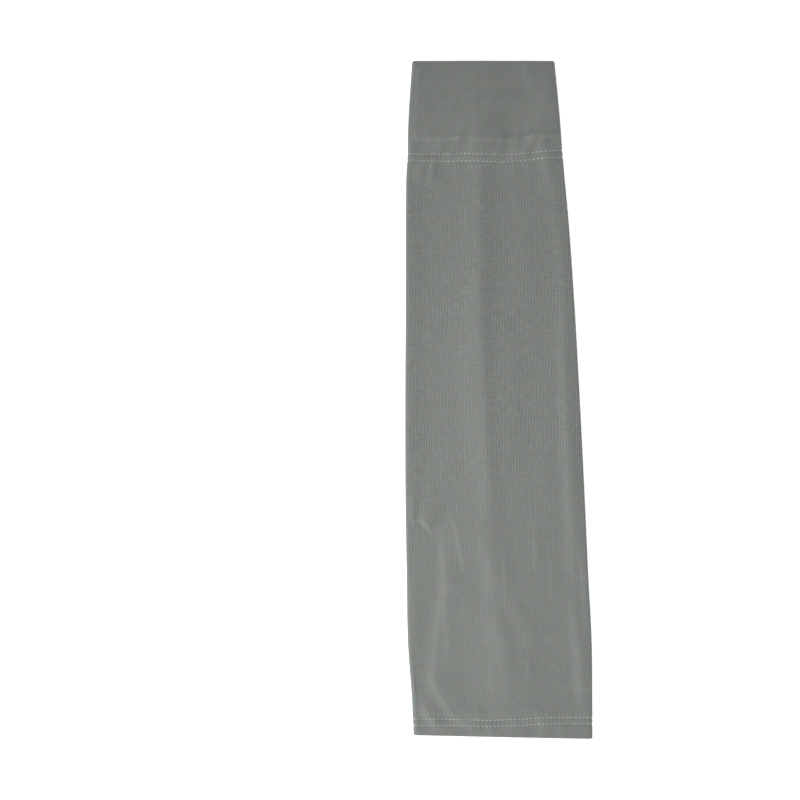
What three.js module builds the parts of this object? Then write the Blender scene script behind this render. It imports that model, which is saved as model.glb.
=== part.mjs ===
// Arm sleeve: a tapered knitted tube lying relaxed on a flat surface, open at both ends.
// A doubled cuff finishes the wrist end and a narrow turned hem finishes the arm end.
// Units are millimetres. +X runs across the sleeve, +Y along it towards the wrist, +Z up from the surface.
// The origin is on that surface, under the middle of the sleeve.

import * as THREE from "three";

// Driving dimensions
const SLEEVE_LENGTH = 400; // wrist edge to arm edge, along the middle
const LAYER = 1; // one layer of the knit
const DOUBLED = 2 * LAYER; // cuff and hem, where the knit is turned in on itself
const CUFF_DEPTH = 60; // wrist edge to the cuff's seam
const HEM_DEPTH = 12; // arm edge to the hem's seam
const FACING_LAP = 4; // how far the turned-in layer runs on past its seam, inside the body
const SEAM_GAP = 0.3; // clearance between two pieces that are sewn to each other
const ARM_EDGE_SLANT = 2.2; // the arm edge lies this much lower at its right end than at its left end
const SLANT_START = 330; // station where that slant begins
const EDGE_CLIMB = 24; // distance over which the upper layer climbs from a folded edge to its full height
const FOLD_FADE = 30; // distance over which a fold rises at its start and dies away at its end
const FOLD_CLEAR = 7; // folds die away over this distance from a folded edge

// Faceting
const BODY_STEPS = 30; // steps along the body
const CUFF_STEPS = 7; // steps along the cuff
const HEM_STEPS = 3; // steps along the hem
const UNDER_STEPS = 8; // steps across the lower layer
const UPPER_STEPS = 26; // steps across the upper layer
const EDGE_STEPS = 5; // steps round a folded edge
const TURN_STEPS = 4; // steps round the turn where a doubled end folds in

// The outline as it lies, one row for each station measured down from the wrist edge:
// where the left and right folded edges are, how thick those edges stand, and how high the middle lies.
const OUTLINE = [
  { station: 0, left: -51.2, right: 33.3, edge: 5.4, middle: 8.8 },
  { station: 40, left: -53.5, right: 36.9, edge: 5.4, middle: 8.8 },
  { station: 60, left: -54.0, right: 38.4, edge: 5.4, middle: 8.8 },
  { station: 90, left: -54.8, right: 41.2, edge: 5.1, middle: 8.5 },
  { station: 150, left: -54.8, right: 45.5, edge: 5.0, middle: 8.3 },
  { station: 230, left: -55.4, right: 50.1, edge: 5.0, middle: 8.3 },
  { station: 300, left: -54.2, right: 53.0, edge: 5.0, middle: 8.3 },
  { station: 350, left: -52.9, right: 55.4, edge: 5.1, middle: 8.5 },
  { station: 375, left: -51.1, right: 55.4, edge: 5.4, middle: 8.8 },
  { station: 400, left: -49.9, right: 55.4, edge: 5.4, middle: 8.8 },
];

// Soft folds of the upper layer, one row each: the stations that it runs between, where it lies across
// the sleeve at those stations (0 at the left edge, 1 at the right edge), how far it falls away
// to its left and to its right, and its height.
const FOLDS = [
  { name: "long ridge", from: 20, to: 330, start: 0.46, end: 0.47, leftFall: 20, rightFall: 8, height: 1 },
  { name: "arm ridge", from: 290, to: 385, start: 0.46, end: 0.53, leftFall: 14, rightFall: 8, height: 1 },
  { name: "right roll", from: 60, to: 300, start: 0.9, end: 0.88, leftFall: 6, rightFall: 8, height: 0.9 },
  { name: "arm roll", from: 300, to: 385, start: 0.91, end: 0.91, leftFall: 6, rightFall: 7, height: 0.8 },
  { name: "buckle", from: 265, to: 370, start: 0.18, end: 0.12, leftFall: 5, rightFall: 7, height: 1 },
  { name: "corner", from: 345, to: 396, start: 0.02, end: 0.3, leftFall: 4, rightFall: 5, height: 0.9 },
];

const WRIST_Y = (SLEEVE_LENGTH + ARM_EDGE_SLANT / 2) / 2;

// Smooth columns of the outline, by station.
const COLUMNS = ["left", "right", "edge", "middle"];
const outlineCurve = new THREE.CubicInterpolant(
  OUTLINE.map((row) => row.station),
  OUTLINE.flatMap((row) => COLUMNS.map((column) => row[column])),
  COLUMNS.length,
);

function outlineAt(station) {
  const [left, right, edge, middle] = outlineCurve.evaluate(station);
  return { left, right, edge, middle };
}

// Height that the soft folds add to the upper layer at a station and a share of the way across.
function foldHeight(station, across, width) {
  let height = 0;
  for (const fold of FOLDS) {
    const along = (station - fold.from) / (fold.to - fold.from);
    const ridge = THREE.MathUtils.lerp(fold.start, fold.end, THREE.MathUtils.clamp(along, 0, 1));
    const offset = (across - ridge) * width;
    const fall = offset < 0 ? fold.leftFall : fold.rightFall;
    const starting = THREE.MathUtils.smoothstep(station, fold.from, fold.from + FOLD_FADE);
    const ending = 1 - THREE.MathUtils.smoothstep(station, fold.to - FOLD_FADE, fold.to);
    height += fold.height * starting * ending * Math.exp(-((offset / fall) ** 2));
  }
  return height;
}

// The closed section of the tube at a station, as points (x, z): along the flat underside
// from right to left, round the left edge, back along the upper layer, and round the right edge.
function section(station) {
  const { left, right, edge, middle } = outlineAt(station);
  const radius = edge / 2;
  const from = left + radius;
  const width = right - radius - from;
  const points = [];
  for (let i = 0; i < UNDER_STEPS; i++) {
    points.push(new THREE.Vector2(from + width * (1 - i / UNDER_STEPS), 0));
  }
  for (let i = 0; i < EDGE_STEPS; i++) {
    const turn = (Math.PI * i) / EDGE_STEPS;
    points.push(new THREE.Vector2(from - radius * Math.sin(turn), radius - radius * Math.cos(turn)));
  }
  for (let i = 0; i < UPPER_STEPS; i++) {
    const across = i / UPPER_STEPS;
    const toEdge = Math.min(across, 1 - across) * width;
    const crown = (middle - edge) * THREE.MathUtils.smoothstep(toEdge, 0, EDGE_CLIMB);
    const fold = foldHeight(station, across, width) * THREE.MathUtils.smoothstep(toEdge, 0, FOLD_CLEAR);
    points.push(new THREE.Vector2(from + width * across, edge + crown + fold));
  }
  for (let i = 0; i < EDGE_STEPS; i++) {
    const turn = (Math.PI * i) / EDGE_STEPS;
    const x = from + width + radius * Math.sin(turn);
    points.push(new THREE.Vector2(x, radius + radius * Math.cos(turn)));
  }
  return points;
}

// The section moved inwards by a depth and set in space.
function ring(station, depth) {
  const points = section(station);
  const count = points.length;
  const { left, right } = outlineAt(station);
  const slant = ARM_EDGE_SLANT * THREE.MathUtils.smoothstep(station, SLANT_START, SLEEVE_LENGTH);
  return points.map((point, i) => {
    const tangent = points[(i + 1) % count].clone().sub(points[(i + count - 1) % count]).normalize();
    const x = point.x + tangent.y * depth;
    const z = point.y - tangent.x * depth;
    const across = (x - left) / (right - left);
    return new THREE.Vector3(x, WRIST_Y - station - slant * (across - 0.5), z);
  });
}

// A closed wall: a profile of (station, depth) points carried round the section.
function wall(profile) {
  const rings = profile.map(({ station, depth }) => ring(station, depth));
  const count = rings[0].length;
  const positions = rings.flat().flatMap((point) => point.toArray());
  const index = [];
  for (let j = 0; j < rings.length; j++) {
    const here = j * count;
    const next = ((j + 1) % rings.length) * count;
    for (let i = 0; i < count; i++) {
      const beside = (i + 1) % count;
      index.push(here + i, next + i, here + beside);
      index.push(here + beside, next + i, next + beside);
    }
  }
  const geometry = new THREE.BufferGeometry();
  geometry.setAttribute("position", new THREE.Float32BufferAttribute(positions, 3));
  geometry.setIndex(index);
  geometry.computeVertexNormals();
  return geometry;
}

// Points of a profile along one depth, both ends included.
function run(start, end, depth, steps) {
  return Array.from({ length: steps + 1 }, (_, i) => ({
    station: THREE.MathUtils.lerp(start, end, i / steps),
    depth,
  }));
}

const TURN_RADIUS = DOUBLED / 2;

// The rounded turn where the knit folds in at an open end, from the turned-in layer to the outer layer.
// The sign of towards says which way along the sleeve the turn bulges.
function foldTurn(edgeStation, towards) {
  return Array.from({ length: TURN_STEPS - 1 }, (_, i) => {
    const turn = (Math.PI * (i + 1)) / TURN_STEPS;
    return {
      station: edgeStation - towards * TURN_RADIUS * (1 - Math.sin(turn)),
      depth: TURN_RADIUS * (1 + Math.cos(turn)),
    };
  });
}

const CUFF_SEAM = CUFF_DEPTH;
const HEM_SEAM = SLEEVE_LENGTH - HEM_DEPTH;
const FACING_OUTSIDE = LAYER + SEAM_GAP; // the turned-in layer lies this deep where it laps inside the body

function sleeveBody() {
  const start = CUFF_SEAM + SEAM_GAP;
  const end = HEM_SEAM - SEAM_GAP;
  return wall([...run(start, end, 0, BODY_STEPS), ...run(end, start, LAYER, BODY_STEPS)]);
}

function wristCuff() {
  const lapEnd = CUFF_SEAM + FACING_LAP;
  return wall([
    ...foldTurn(0, -1),
    ...run(TURN_RADIUS, CUFF_SEAM, 0, CUFF_STEPS),
    ...run(CUFF_SEAM, lapEnd, FACING_OUTSIDE, 1),
    ...run(lapEnd, TURN_RADIUS, DOUBLED, CUFF_STEPS),
  ]);
}

function armHem() {
  const lapEnd = HEM_SEAM - FACING_LAP;
  const turnStart = SLEEVE_LENGTH - TURN_RADIUS;
  return wall([
    ...run(lapEnd, HEM_SEAM, FACING_OUTSIDE, 1),
    ...run(HEM_SEAM, turnStart, 0, HEM_STEPS),
    ...foldTurn(SLEEVE_LENGTH, 1).reverse(),
    ...run(turnStart, lapEnd, DOUBLED, HEM_STEPS),
  ]);
}

// Grey nylon and elastane knit. The doubled ends look a shade darker, because no light comes through them.
const KNIT = new THREE.MeshStandardMaterial({ color: 0x81857f, roughness: 0.8, metalness: 0 });
const DOUBLED_KNIT = new THREE.MeshStandardMaterial({ color: 0x767b76, roughness: 0.8, metalness: 0 });

const sleeve = new THREE.Group();
const PIECES = [
  { name: "sleeve_body", geometry: sleeveBody(), material: KNIT },
  { name: "wrist_cuff", geometry: wristCuff(), material: DOUBLED_KNIT },
  { name: "arm_hem", geometry: armHem(), material: DOUBLED_KNIT },
];
for (const { name, geometry, material } of PIECES) {
  const mesh = new THREE.Mesh(geometry, material);
  mesh.name = name;
  sleeve.add(mesh);
}

export default sleeve;
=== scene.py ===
# %% [markdown]
# # A knitted arm sleeve, laid flat
#
# The real sleeve is cut from fine grey knit and sewn into a tapered tube. The wrist end is turned in
# to make a deep double cuff, the arm end is turned in to make a narrow hem, and a twin-needle machine
# sews two rows of pale stitches round each of them. Here it lies on a table, as if just put down.
#
# This lesson follows a workshop: measure, decide how the cloth lies, cut flat panels, wrap and sew
# them, then stitch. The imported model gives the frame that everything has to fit.

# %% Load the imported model
import math

import bpy
import numpy as np
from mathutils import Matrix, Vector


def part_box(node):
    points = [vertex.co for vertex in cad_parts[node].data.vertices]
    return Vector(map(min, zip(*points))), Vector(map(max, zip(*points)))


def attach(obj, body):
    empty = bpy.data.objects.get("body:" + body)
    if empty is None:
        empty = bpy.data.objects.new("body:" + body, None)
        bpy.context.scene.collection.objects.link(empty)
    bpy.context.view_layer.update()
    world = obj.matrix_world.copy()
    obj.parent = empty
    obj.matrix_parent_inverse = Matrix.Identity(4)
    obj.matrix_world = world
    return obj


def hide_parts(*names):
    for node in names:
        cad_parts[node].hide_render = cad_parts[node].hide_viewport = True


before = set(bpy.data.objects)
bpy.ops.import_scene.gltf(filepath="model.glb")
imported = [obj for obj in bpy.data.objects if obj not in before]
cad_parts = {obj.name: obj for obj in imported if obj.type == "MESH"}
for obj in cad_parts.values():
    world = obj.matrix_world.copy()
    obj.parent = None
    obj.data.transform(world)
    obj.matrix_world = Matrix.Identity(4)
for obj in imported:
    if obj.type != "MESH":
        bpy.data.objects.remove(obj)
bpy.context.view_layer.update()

# %% [markdown]
# ## The sleeve's own measures
#
# A tailor measures down from the wrist, so every place along the sleeve is a station: its distance
# from the wrist edge in millimetres. Places across the sleeve are x, also in millimetres. The frame
# tells where the wrist edge is, how long the sleeve is and where the body starts below its cuff, so
# none of these is guessed again. The values below are in millimetres too: the slant of the arm edge and
# where it starts, the depth of the hem, the thickness of one layer, how deep the inner layer lies, how
# far it laps past its seam, and a hairline that keeps two pieces apart.

# %% Read the stations from the frame
MM = 0.001
ARM_EDGE_SLANT = 2.2
SLANT_START = 330
HEM_DEPTH = 12
LAYER = 0.9
DOUBLED = 2.0
FACING_LAP = 4
HAIRLINE = 0.02

wrist_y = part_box("wrist_cuff")[1][1] / MM
arm_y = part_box("arm_hem")[0][1] / MM
body_top_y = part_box("sleeve_body")[1][1] / MM
sleeve_length = wrist_y - arm_y - ARM_EDGE_SLANT / 2
cuff_seam = wrist_y - body_top_y
hem_seam = sleeve_length - HEM_DEPTH
print(f"sleeve {sleeve_length:.1f} mm, cuff seam at {cuff_seam:.1f}, hem seam at {hem_seam:.1f}")

# %% [markdown]
# ## The outline
#
# Laid flat, the tube has a folded edge on the left and its side seam on the right. A short table gives
# both edges at a few stations, how thick the sleeve stands at each of them, and where its long soft
# ridge runs and how high. A smooth curve runs through each column, the way a drafting spline joins
# marks on a pattern.

# %% Outline table and its smooth columns
OUTLINE_COLUMNS = ("station", "left", "right", "left_edge", "right_edge", "ridge_x", "ridge")
OUTLINE = np.array([
    (0, -51.0, 33.4, 4.8, 5.2, -9.0, 5.8),
    (40, -53.5, 37.1, 4.8, 5.2, -10.0, 5.8),
    (57, -53.8, 38.35, 4.8, 5.2, -10.5, 5.9),
    (66, -54.4, 39.15, 4.2, 4.7, -11.0, 5.5),
    (90, -54.75, 41.4, 3.6, 4.3, -11.5, 5.6),
    (141, -54.8, 45.05, 3.4, 4.2, -11.0, 7.0),
    (200, -55.15, 48.4, 3.4, 4.2, -9.0, 6.9),
    (260, -55.0, 51.4, 3.4, 4.2, -6.0, 6.8),
    (300, -54.35, 53.2, 3.4, 3.8, -4.0, 6.6),
    (350, -53.25, 55.6, 3.4, 3.8, 0.0, 6.2),
    (375, -51.4, 55.75, 3.9, 4.5, 3.0, 6.2),
    (400, -50.2, 55.85, 4.8, 5.0, 5.0, 6.0),
])


def smooth_curve(places, values, at):
    """A curve through the points of a table, with no corners."""
    slopes = np.gradient(values, places)
    start = np.clip(np.searchsorted(places, at) - 1, 0, len(places) - 2)
    step = places[start + 1] - places[start]
    t = np.clip((at - places[start]) / step, 0, 1)
    from_value = values[start] * (1 + 2 * t) * (1 - t) ** 2
    to_value = values[start + 1] * t**2 * (3 - 2 * t)
    bending = slopes[start] * t * (1 - t) ** 2 - slopes[start + 1] * t**2 * (1 - t)
    return from_value + to_value + bending * step


def outline(column, station):
    """One column of the outline at any stations."""
    values = OUTLINE[:, OUTLINE_COLUMNS.index(column)]
    return smooth_curve(OUTLINE[:, 0], values, np.asarray(station, float))


def ease(distance, reach):
    """Rises softly from 0 to 1 over a reach."""
    t = np.clip(distance / reach, 0, 1)
    return t * t * (3 - 2 * t)


for place in (0, sleeve_length / 2, sleeve_length):
    width = outline("right", place) - outline("left", place)
    print(f"station {place:.0f}: {float(width):.1f} mm wide")

# %% [markdown]
# ## The folds
#
# Cloth that was folded in a packet keeps soft folds: one long ridge down the middle, a roll beside the
# seam, a buckle that starts at a kink in the left edge, and short creases towards the arm. They could
# be sculpted by brush, but a table is easier to correct: each fold is a path of (x, station, height)
# with a fall on its left and on its right side. A fold with a negative height is a hollow. The last
# millimetres beside the seam droop, so a few hollows follow that edge.

# %% Fold table
FOLDS = (
    ("long ridge, wrist half", 8.5, 7, [
        (-10.8, 56, 1.3), (-10.8, 70, 1.9), (-11.3, 90, 1.7), (-11.4, 110, 1.5), (-11, 141, 1.3),
        (-10.5, 178, 0.3)]),
    ("long ridge, arm half", 12, 6, [
        (-10.5, 145, 0.2), (-9.5, 180, 1.0), (-8, 205, 1.2), (-6.5, 245, 1.0), (-5.5, 265, 0.6),
        (-5, 284, 0.1)]),
    ("crest of the long ridge", 3, 3, [
        (-11.2, 58, 0.2), (-11.2, 75, 0.3), (-11.5, 100, 0.25), (-11.4, 130, 0.25), (-10.8, 160, 0.2),
        (-9.4, 190, 0.2), (-8, 215, 0.2), (-6.5, 245, 0.2), (-5.5, 262, 0.05)]),
    ("end of the long ridge", 3, 8, [(-9.5, 268, 0.1), (-9, 285, 0.5), (-8.5, 297, 0.1)]),
    ("left bead", 1.2, 6, [(-51.5, 62, 0.1), (-51.8, 90, 0.15), (-52, 200, 0.15), (-52, 264, 0.2)]),
    ("arm bead", 1.2, 6, [
        (-51.5, 276, 0.1), (-51, 300, 0.3), (-50.6, 335, 0.3), (-50.2, 346, 0.15), (-49.6, 358, 0.05)]),
    ("left hollow", 8, 18, [
        (-43, 62, -0.3), (-42.5, 90, -0.7), (-42.5, 141, -0.7), (-42, 185, -0.6), (-42, 240, -0.5),
        (-42, 260, -0.2)]),
    ("left valley", 20, 14, [
        (-16.5, 160, -0.1), (-16.5, 190, -0.6), (-15.5, 216, -0.9), (-14.5, 245, -0.9), (-14, 262, -0.3)]),
    ("right roll", 4, 7, [
        (32.5, 66, 0.4), (37, 100, 0.6), (39.3, 141, 1.0), (39.5, 182, 1.5), (41.2, 220, 1.6),
        (43, 250, 1.4), (44.5, 280, 1.2), (45, 296, 0.8), (45.4, 308, 0.1)]),
    ("arm roll", 3, 5, [
        (44.5, 316, 0.2), (45.5, 330, 0.7), (47.5, 345, 0.6), (49.5, 358, 0.45), (50, 370, 0.35),
        (50.5, 385, 0.05)]),
    ("arm hollow", 18, 5, [(39, 338, -0.3), (41, 352, -1.2), (42.5, 370, -1.4), (43, 386, -0.7)]),
    ("edge line", 1.5, 8, [
        (47.8, 281, 0.1), (49.2, 293, 0.35), (50, 301, 0.4), (51, 315, 0.4), (52, 330, 0.3),
        (52.8, 343, 0.05)]),
    ("droop beside the seam, wrist half", 4.5, 8, [
        (34, 0, -0.7), (36, 24, -0.6), (37.5, 40, -1.0), (38.2, 48, -1.9), (38.6, 55, -2.1),
        (39.2, 62, -1.3), (40, 72, -1.0), (42, 96, -0.8), (44, 125, -0.5), (46, 150, -0.4),
        (47, 168, -0.05)]),
    ("droop beside the seam", 5, 8, [
        (49, 206, -0.05), (50, 228, -0.4), (51.3, 255, -0.7), (52, 268, -0.4), (52.5, 280, -0.02)]),
    ("droop beside the seam, arm half", 6, 8, [
        (55, 334, -0.1), (55.6, 350, -0.6), (55.8, 366, -0.6), (55.9, 385, -0.5), (56, 400, -0.6)]),
    ("kink", 1.5, 14, [
        (-54, 270.2, 0.6), (-50.5, 270.9, 0.9), (-48, 271.2, 0.4), (-45.4, 271.7, 0.9),
        (-44.2, 272.4, 1.8), (-42.6, 273.7, 2.1), (-41.1, 275.3, 1.5), (-39.8, 277, 0.4),
        (-38.5, 279, 0.1)]),
    ("hollow beside the buckle", 9, 3.2, [
        (-37, 276, -0.2), (-35.6, 284, -0.5), (-34.8, 292, -0.6), (-34.8, 305, -0.8), (-36, 318, -0.9),
        (-38.2, 330, -1.0), (-39.8, 345, -0.8), (-41.2, 358, -0.6), (-42, 368, -0.2), (-42, 376, -0.02)]),
    ("buckle", 1.8, 10, [
        (-33.6, 279, 0.05), (-33, 285, 0.45), (-32.3, 295, 0.75), (-31.8, 302, 1.1), (-31.5, 309, 1.5),
        (-32.2, 314, 1.0), (-33.2, 318, 0.7)]),
    ("bulge of the buckle", 4, 11, [(-30.5, 302, 0.1), (-30, 309, 0.8), (-30.5, 316, 0.1)]),
    ("left branch of the buckle", 3, 6, [
        (-32.8, 316, 0.3), (-34.4, 323, 0.5), (-35.6, 330, 0.5), (-37, 345, 0.5), (-38.2, 358, 0.6),
        (-39, 366, 0.5)]),
    ("right branch of the buckle", 2, 6, [
        (-31.4, 316, 0.3), (-30.4, 325, 0.6), (-29.6, 338, 0.6), (-29.4, 350, 0.5), (-30, 362, 0.05)]),
    ("diagonal", 3.2, 12, [
        (-38.4, 360, 0.3), (-37.6, 367, 0.8), (-34.8, 373, 1.1), (-31.2, 379.5, 1.3), (-27, 385.5, 1.0),
        (-21.5, 390, 0.8), (-15, 392.6, 0.8), (-9, 394.5, 0.1)]),
    ("corner crease", 2.8, 6, [(-45.2, 377, 0.3), (-43, 383.5, 1.3), (-40, 389.8, 1.0)]),
    ("corner hollow", 8, 5, [
        (-45.5, 360, -0.2), (-45.5, 374, -0.7), (-45, 385, -0.6), (-44.5, 396, -0.5)]),
    ("packet crease", 5, 8, [(-14, 262, 0.05), (-14.5, 274, 0.6), (-14, 284, 0.7), (-13, 294, 0.05)]),
    ("crease beside the buckle", 1.5, 10, [
        (-27.4, 269, 0.1), (-24.9, 276, 0.7), (-23.6, 283, 1.1), (-22.1, 291, 0.8), (-20.8, 297, 0.6),
        (-20.3, 304, 0.1)]),
    ("short crease", 2.6, 9, [
        (-4, 291, 0.1), (-4.2, 298, 0.7), (-5, 304, 0.8), (-5.2, 310, 0.5), (-4.8, 316, 0.05)]),
    ("arm patch", 6.5, 5.5, [
        (-3.2, 321, 0.05), (0, 333, 0.8), (2.6, 341, 1.0), (3.8, 350, 1.0), (4.4, 359, 0.8),
        (4.4, 370, 0.4), (4.4, 380, 0.05)]),
    ("hollow beside the arm patch", 8, 12, [
        (-11, 304, -0.1), (-9.5, 313, -0.6), (-8.5, 321, -0.8), (-10, 331, -0.7), (-13, 345, -0.7),
        (-15, 358, -0.7), (-15, 372, -0.5), (-14, 386, -0.1)]),
    ("arm line", 1.5, 4, [(-4, 355, 0.05), (-4, 364, 0.4), (-3.8, 376, 0.3), (-3.5, 388, 0.05)]),
    ("thin line", 1.3, 5, [(3.5, 282, 0.05), (3.8, 298, 0.4), (4.2, 312, 0.4), (4.8, 320, 0.1)]),
    ("step patch", 6, 4.5, [(5, 317, 0.1), (9.5, 322, 0.6), (12.5, 328, 0.6), (14, 335, 0.2)]),
    ("low patch", 3.5, 5, [(15, 336, 0.05), (18, 341, 0.7), (20, 346, 0.05)]),
    ("low streak", 1.8, 10, [
        (18, 342, 0.3), (24, 340.2, 0.6), (28, 339.4, 0.7), (34, 338.6, 0.4), (42, 338, 0.05)]),
    ("small dimple", 1.5, 3, [(18, 353, 0.05), (18.5, 360, 0.35), (18.5, 366, 0.05)]),
    ("faint fold", 1.3, 4, [(21.5, 278, 0.05), (22, 289, 0.45), (22.6, 302, 0.05)]),
    ("fainter fold", 1.3, 4, [(31.3, 287, 0.05), (31.5, 303, 0.3), (31.8, 320, 0.05)]),
    ("seam nick", 1.1, 12, [
        (41, 369.6, 0.1), (45, 369.9, 0.4), (49, 370.2, 0.7), (53, 370.5, 0.7), (56, 370.8, 0.7)]),
    ("hem lip", 2, 4, [
        (-49, 401, 0.5), (-20, 401.2, 0.6), (5, 401.5, 0.6), (20, 401.7, 0.6), (54, 402, 0.5)]),
    ("hem bulge", 4.5, 6, [(29.5, 382, 0.1), (29, 388, 0.8), (28, 393, 0.8), (27, 399, 0.4)]),
    ("hem hollow", 7, 5, [(21, 388, -0.1), (21, 394, -0.5), (21, 400, -0.5)]),
    ("cuff swell", 20, 7, [(-8.5, 0, 1.2), (-7.5, 12, 1.3), (-7, 32, 1.5), (-7, 45, 1.5)]),
    ("cuff fill", 8, 9, [(4, 12, 0.1), (4, 22, 1.0), (5, 30, 0.1)]),
    ("cuff shoulder", 3, 9, [
        (-48, 2, 0.2), (-47, 12, 0.05), (-48, 24, 0.05), (-47, 36, 0.05), (-46, 45, 0.1)]),
    ("cuff fold by the ridge", 4.8, 9, [
        (30, 4, 0.2), (30, 13, 0.5), (29, 26, 1.0), (26.5, 36, 1.4), (22, 45, 1.4)]),
    ("cuff fold at the edge", 4, 6, [(16, 0, 0.9), (18, 10, 0.8), (20, 22, 0.1)]),
    ("cuff fold on the left", 7, 8, [(-13, 16, 0.1), (-13, 28, 0.9), (-12, 38, 1.2), (-11, 46, 0.8)]),
    ("cuff hollow", 7, 8, [(10, 24, -0.2), (10, 33, -1.2), (9.5, 41, -1.4), (8, 48, -0.5)]),
    ("cuff seam roll", 3, 8, [
        (27.5, 42, 0.1), (28, 47, 0.8), (29, 52, 1.1), (30.5, 58, 0.9), (32, 66, 0.1)]),
)
PATH_SAMPLES = 60
FOLD_REACH = 2.5


def fold_height(x, station):
    """Height that the folds add at places on the upper layer."""
    height = np.zeros_like(x)
    for _, left_fall, right_fall, points in FOLDS:
        points = np.array(points, float)
        length = np.concatenate([[0], np.cumsum(np.hypot(*np.diff(points[:, :2], axis=0).T))])
        samples = np.linspace(0, length[-1], PATH_SAMPLES)
        path = np.stack([smooth_curve(length, points[:, i], samples) for i in range(3)], axis=1)
        along = np.gradient(path[:, :2], samples, axis=0)
        along /= np.linalg.norm(along, axis=1)[:, None]
        reach = FOLD_REACH * max(left_fall, right_fall)
        low, high = path[:, :2].min(axis=0) - reach, path[:, :2].max(axis=0) + reach
        near = (x > low[0]) & (x < high[0]) & (station > low[1]) & (station < high[1])
        gap = np.stack([x[near], station[near]], axis=-1)[:, None, :] - path[:, :2]
        nearest = np.argmin((gap**2).sum(-1), axis=1)
        gap = gap[np.arange(len(gap)), nearest]
        direction = along[nearest]
        aside = gap[:, 0] * direction[:, 1] - gap[:, 1] * direction[:, 0]
        beyond = (gap * direction).sum(-1)
        fall = np.where(aside < 0, left_fall, right_fall)
        past_end = np.where((nearest == 0) | (nearest == PATH_SAMPLES - 1), beyond, 0)
        end_fall = (left_fall + right_fall) / 2
        height[near] += path[nearest, 2] * np.exp(-((aside / fall) ** 2) - (past_end / end_fall) ** 2)
    return height


print(f"{len(FOLDS)} folds, the highest {max(p[2] for f in FOLDS for p in f[3]):.2f} mm")

# %% [markdown]
# ## What the stitching does to the cloth
#
# Each row of stitches pulls the knit down into a shallow channel, and the cloth beside it gathers into
# small puckers. Where a seam's extra layers lie beside its rows, the cloth swells a little. The cuff also
# shows a faint ridge above its stitching, where the edge that is turned under ends. The rows aren't quite
# straight: they wander by a millimetre or two, as on any sewn tube, so each row is a curve of stations
# across the sleeve.

# %% Rows of stitching, channels, puckers and the cuff's ridge
CUFF_ROW = np.array([
    (-56, 54.9), (-32, 55.3), (-16, 55.1), (4, 55.6), (16, 54.8), (27, 53.5), (40, 52.8),
])
HEM_ROW = np.array([
    (-56, 390.5), (-36, 390.2), (-16, 389.95), (-4, 390.05), (4, 389.5), (12, 389.2), (20, 388.4),
    (30, 387.8), (58, 387.3),
])
CUFF_ROW_SPACING = 4.15
HEM_ROW_SPACING = 3.7
STITCH_ROWS = (
    ("cuff", CUFF_ROW, 0),
    ("cuff", CUFF_ROW, CUFF_ROW_SPACING),
    ("hem", HEM_ROW, 0),
    ("hem", HEM_ROW, HEM_ROW_SPACING),
)
CHANNEL_DEPTH = 0.26
CHANNEL_WIDTH = 0.7


def row_station(row, x):
    """Station of a row of stitches at places across the sleeve."""
    return smooth_curve(row[:, 0], row[:, 1], x)


def channel_depth(x, station):
    """How deep the rows of stitches draw the cloth in."""
    depth = np.zeros_like(x)
    for _, row, offset in STITCH_ROWS:
        away = station - row_station(row, x) - offset
        depth += CHANNEL_DEPTH * np.exp(-((away / CHANNEL_WIDTH) ** 2))
    return depth


# Puckers beside the stitching: where each starts and ends (x, station), its height and its fall on the
# left. On the right each falls away more gently. Along its run, with 0 at its start and 1 at its end, a
# pucker rises over a short share and fades out over a longer one.
PUCKERS = (
    (-37.5, 57, -31, 40, 0.9, 2.4),
    (-30, 57, -17, 34, 1.4, 1.9),
    (-20, 57, -8, 34, 1.3, 1.9),
    (-2, 57, 4, 42, 0.7, 1.5),
    (7.5, 57, 15, 36, 1.0, 1.7),
    (12.5, 57, 27, 31, 1.7, 2.0),
    (22.3, 56, 29, 39, 1.0, 1.6),
    (-41, 57, -52, 72, 2.0, 2.0),
    (-37.8, 57, -41.5, 77, 1.5, 1.7),
    (-24, 55.5, -24.5, 76, 0.4, 1.8),
    (8.5, 55.5, 10, 72, 0.3, 1.8),
    (16.5, 55, 17.5, 70, 0.15, 1.6),
    (25.5, 53.5, 31.3, 76, 1.1, 1.9),
    (24, 391, 22.5, 380, 0.5, 1.5),
    (-11, 392, -12, 381, 0.3, 1.6),
    (42, 390, 43, 379, 0.3, 1.6),
    (-5.5, 391.5, -4.5, 401, 0.6, 2.0),
    (-37, 390, -37, 397, 0.9, 2.0),
    (37, 390, 38, 400, 0.2, 2.5),
)
PUCKER_GENTLER = 2.0
RISE_START = -0.2
RISE_SHARE = 0.4
FADE_START = 0.45
FADE_SHARE = 0.55


def pucker_height(x, station):
    """Height that the puckers beside the stitching add."""
    height = np.zeros_like(x)
    for from_x, from_station, to_x, to_station, high, fall in PUCKERS:
        run = np.array([to_x - from_x, to_station - from_station])
        length = np.hypot(*run)
        way = run / length
        along = ((x - from_x) * way[0] + (station - from_station) * way[1]) / length
        aside = ((x - from_x) * way[1] - (station - from_station) * way[0]) * np.sign(way[1])
        fall = np.where(aside < 0, fall, PUCKER_GENTLER * fall)
        fade = ease(along - RISE_START, RISE_SHARE) * (1 - ease(along - FADE_START, FADE_SHARE))
        height += high * fade * np.exp(-((aside / fall) ** 2))
    return height


# Each seam: its first row, the spacing of its rows, the pitch of its ribs, and where its swell lies from
# the middle between the rows.
SEAMS = (
    (CUFF_ROW, CUFF_ROW_SPACING, 2.6, 2.6),
    (HEM_ROW, HEM_ROW_SPACING, 2.4, -6.0),
)
SEAM_SWELL = 0.4
SEAM_SWELL_REACH = 3.8
RIB_HEIGHT = 0.07
RIB_REACH = 1.5


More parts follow.
